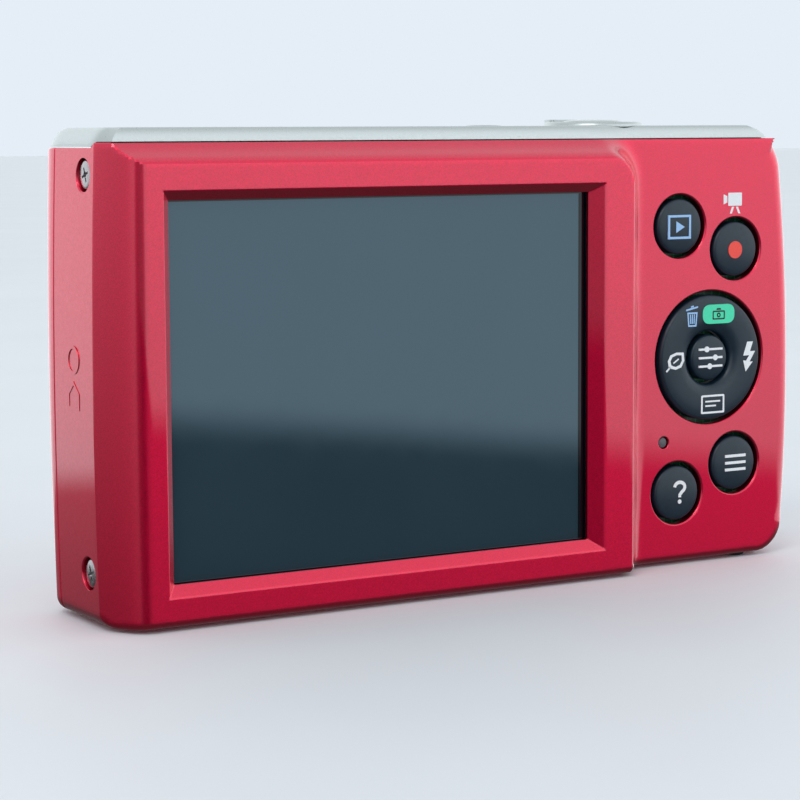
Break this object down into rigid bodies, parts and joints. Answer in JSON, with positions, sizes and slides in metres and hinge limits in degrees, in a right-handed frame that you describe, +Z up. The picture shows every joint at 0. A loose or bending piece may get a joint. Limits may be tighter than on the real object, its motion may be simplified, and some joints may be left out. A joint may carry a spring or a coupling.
{
  "type": "compact digital camera",
  "caption": "Compact camera with a raised rear display frame, side control panel, telescoping lens, zoom lever and hinged battery door.",
  "frame": {"origin": "centre of the footprint of the bounding box, at the level the feet stand on", "axes": "+Z up, lens faces -Y, display faces +Y, the controls on the back are towards -X"},
  "size_m": [0.095, 0.022, 0.0546],
  "materials": {
    "red_paint": "gloss metallic",
    "silver_cover": "satin anodised",
    "barrel_metal": "satin",
    "bright_steel": "polished",
    "sheet_steel": "rolled sheet",
    "brass": "machined",
    "button_plastic": "satin",
    "black_plastic": "fine matt",
    "display_glass": "polished",
    "clear_glass": "polished",
    "circuit_board": "solder mask",
    "grey_plastic": "matt",
    "dark_can": "sleeved",
    "white_plastic": "moulded"
  },
  "bodies": {
    "camera_body": {"rear_cover": "red_paint", "front_cover": "red_paint", "top_cover": "silver_cover", "lens_ring": "silver_cover", "side_screw_upper": "bright_steel", "side_screw_lower": "bright_steel", "base_screw": "bright_steel", "strap_bar": "bright_steel", "idler_pin": "bright_steel", "flash_reflector": "bright_steel", "chassis_frame": "sheet_steel", "display_bracket": "sheet_steel", "sensor_plate": "sheet_steel", "card_slot": "sheet_steel", "terminal_socket": "sheet_steel", "zoom_motor": "sheet_steel", "tripod_socket": "brass", "lens_housing": "black_plastic", "battery_box": "black_plastic", "loudspeaker": "black_plastic", "memory_card": "black_plastic", "image_sensor": "black_plastic", "display_window": "display_glass", "flash_window": "clear_glass", "flash_tube": "clear_glass", "focus_lamp": "clear_glass", "main_board": "circuit_board", "switch_board": "circuit_board", "top_board": "circuit_board", "display_module": "grey_plastic", "battery": "grey_plastic", "status_lamp": "grey_plastic", "flash_capacitor": "dark_can"},
    "outer_barrel": {"outer_barrel": "barrel_metal"},
    "middle_barrel": {"middle_barrel": "barrel_metal"},
    "inner_barrel": {"inner_barrel": "barrel_metal", "lens_face_ring": "black_plastic", "front_lens": "clear_glass", "lens_holder": "black_plastic", "shutter_unit": "black_plastic"},
    "barrier_blade_upper": {"barrier_blade_upper": "black_plastic"},
    "barrier_blade_lower": {"barrier_blade_lower": "black_plastic"},
    "cam_ring": {"cam_ring": "brass"},
    "idler_gear": {"idler_gear": "white_plastic"},
    "motor_pinion": {"motor_pinion": "brass"},
    "focus_carrier": {"focus_carrier": "black_plastic", "focus_lens": "clear_glass"},
    "playback_button": {"playback_button": "button_plastic"},
    "movie_button": {"movie_button": "button_plastic"},
    "help_button": {"help_button": "button_plastic"},
    "menu_button": {"menu_button": "button_plastic"},
    "set_button": {"set_button": "button_plastic"},
    "pad_carrier": {"direction_pad_carrier": "grey_plastic"},
    "direction_pad": {"direction_pad": "button_plastic"},
    "shutter_button": {"shutter_button": "silver_cover"},
    "zoom_lever": {"zoom_lever": "silver_cover"},
    "power_button": {"power_button": "silver_cover"},
    "battery_door": {"battery_door": "red_paint"},
    "battery_latch": {"battery_latch": "grey_plastic"},
    "terminal_cover": {"terminal_cover": "black_plastic"}
  },
  "joints": [
    {"name": "zoom_extend", "type": "slide", "parent": "camera_body", "child": "outer_barrel", "axis": [0, -1, 0], "range_m": [0, 0.009]},
    {"name": "middle_extend", "type": "slide", "parent": "outer_barrel", "child": "middle_barrel", "axis": [0, -1, 0], "range_m": [0, 0.008]},
    {"name": "inner_extend", "type": "slide", "parent": "middle_barrel", "child": "inner_barrel", "axis": [0, -1, 0], "range_m": [0, 0.006]},
    {"name": "upper_blade_slide", "type": "slide", "parent": "inner_barrel", "child": "barrier_blade_upper", "axis": [0, 0, 1], "range_m": [0, 0.0046]},
    {"name": "lower_blade_slide", "type": "slide", "parent": "inner_barrel", "child": "barrier_blade_lower", "axis": [0, 0, -1], "range_m": [0, 0.0046]},
    {"name": "cam_turn", "type": "hinge", "parent": "camera_body", "child": "cam_ring", "pos_m": [0.007, 0, 0.026], "axis": [0, 1, 0], "range_deg": [0, 30]},
    {"name": "idler_turn", "type": "hinge", "parent": "camera_body", "child": "idler_gear", "pos_m": [0.02142, 0.001, 0.04043], "axis": [0, 1, 0], "range_deg": [-225, 0]},
    {"name": "pinion_turn", "type": "hinge", "parent": "camera_body", "child": "motor_pinion", "pos_m": [0.02425, 0.001, 0.04325], "axis": [0, 1, 0], "range_deg": [0, 337.5]},
    {"name": "focus_travel", "type": "slide", "parent": "camera_body", "child": "focus_carrier", "axis": [0, -1, 0], "range_m": [-0.0012, 0.0006]},
    {"name": "playback_press", "type": "slide", "parent": "camera_body", "child": "playback_button", "axis": [0, -1, 0], "range_m": [0, 0.0004], "stiffness_N_per_m": 400},
    {"name": "movie_press", "type": "slide", "parent": "camera_body", "child": "movie_button", "axis": [0, -1, 0], "range_m": [0, 0.0004], "stiffness_N_per_m": 400},
    {"name": "help_press", "type": "slide", "parent": "camera_body", "child": "help_button", "axis": [0, -1, 0], "range_m": [0, 0.0004], "stiffness_N_per_m": 400},
    {"name": "menu_press", "type": "slide", "parent": "camera_body", "child": "menu_button", "axis": [0, -1, 0], "range_m": [0, 0.0004], "stiffness_N_per_m": 400},
    {"name": "set_press", "type": "slide", "parent": "camera_body", "child": "set_button", "axis": [0, -1, 0], "range_m": [0, 0.0004], "stiffness_N_per_m": 400},
    {"name": "pad_tilt_up_down", "type": "hinge", "parent": "camera_body", "child": "pad_carrier", "pos_m": [-0.0341, 0.0058, 0.0254], "axis": [1, 0, 0], "range_deg": [-2.2, 2.2], "stiffness_Nm_per_rad": 0.03},
    {"name": "pad_tilt_left_right", "type": "hinge", "parent": "pad_carrier", "child": "direction_pad", "pos_m": [-0.0341, 0.0058, 0.0254], "axis": [0, 0, 1], "range_deg": [-2.2, 2.2], "stiffness_Nm_per_rad": 0.03},
    {"name": "shutter_press", "type": "slide", "parent": "camera_body", "child": "shutter_button", "axis": [0, 0, -1], "range_m": [0, 0.0008], "stiffness_N_per_m": 500},
    {"name": "zoom_lever_turn", "type": "hinge", "parent": "camera_body", "child": "zoom_lever", "pos_m": [-0.0213, 0.0006, 0.0535], "axis": [0, 0, 1], "range_deg": [-20, 20], "stiffness_Nm_per_rad": 0.006},
    {"name": "power_press", "type": "slide", "parent": "camera_body", "child": "power_button", "axis": [0, 0, -1], "range_m": [0, 0.0004], "stiffness_N_per_m": 400},
    {"name": "battery_door_open", "type": "hinge", "parent": "camera_body", "child": "battery_door", "pos_m": [-0.0299, 0.0029, 0.00125], "axis": [1, 0, 0], "range_deg": [0, 95]},
    {"name": "battery_latch_slide", "type": "slide", "parent": "camera_body", "child": "battery_latch", "axis": [1, 0, 0], "range_m": [0, 0.0016], "stiffness_N_per_m": 200},
    {"name": "terminal_cover_open", "type": "hinge", "parent": "camera_body", "child": "terminal_cover", "pos_m": [-0.046, -0.0022, 0.043], "axis": [0, 0, 1], "range_deg": [0, 100]}
  ],
  "couplings": [
    {"joint": "middle_extend", "follows": "zoom_extend", "ratio": 0.8888},
    {"joint": "inner_extend", "follows": "zoom_extend", "ratio": 0.6666},
    {"joint": "upper_blade_slide", "follows": "zoom_extend", "ratio": 0.511},
    {"joint": "lower_blade_slide", "follows": "zoom_extend", "ratio": 0.511},
    {"joint": "cam_turn", "follows": "zoom_extend", "rad_per_m": 58.1},
    {"joint": "idler_turn", "follows": "zoom_extend", "rad_per_m": -435.75},
    {"joint": "pinion_turn", "follows": "zoom_extend", "rad_per_m": 653.62}
  ]
}
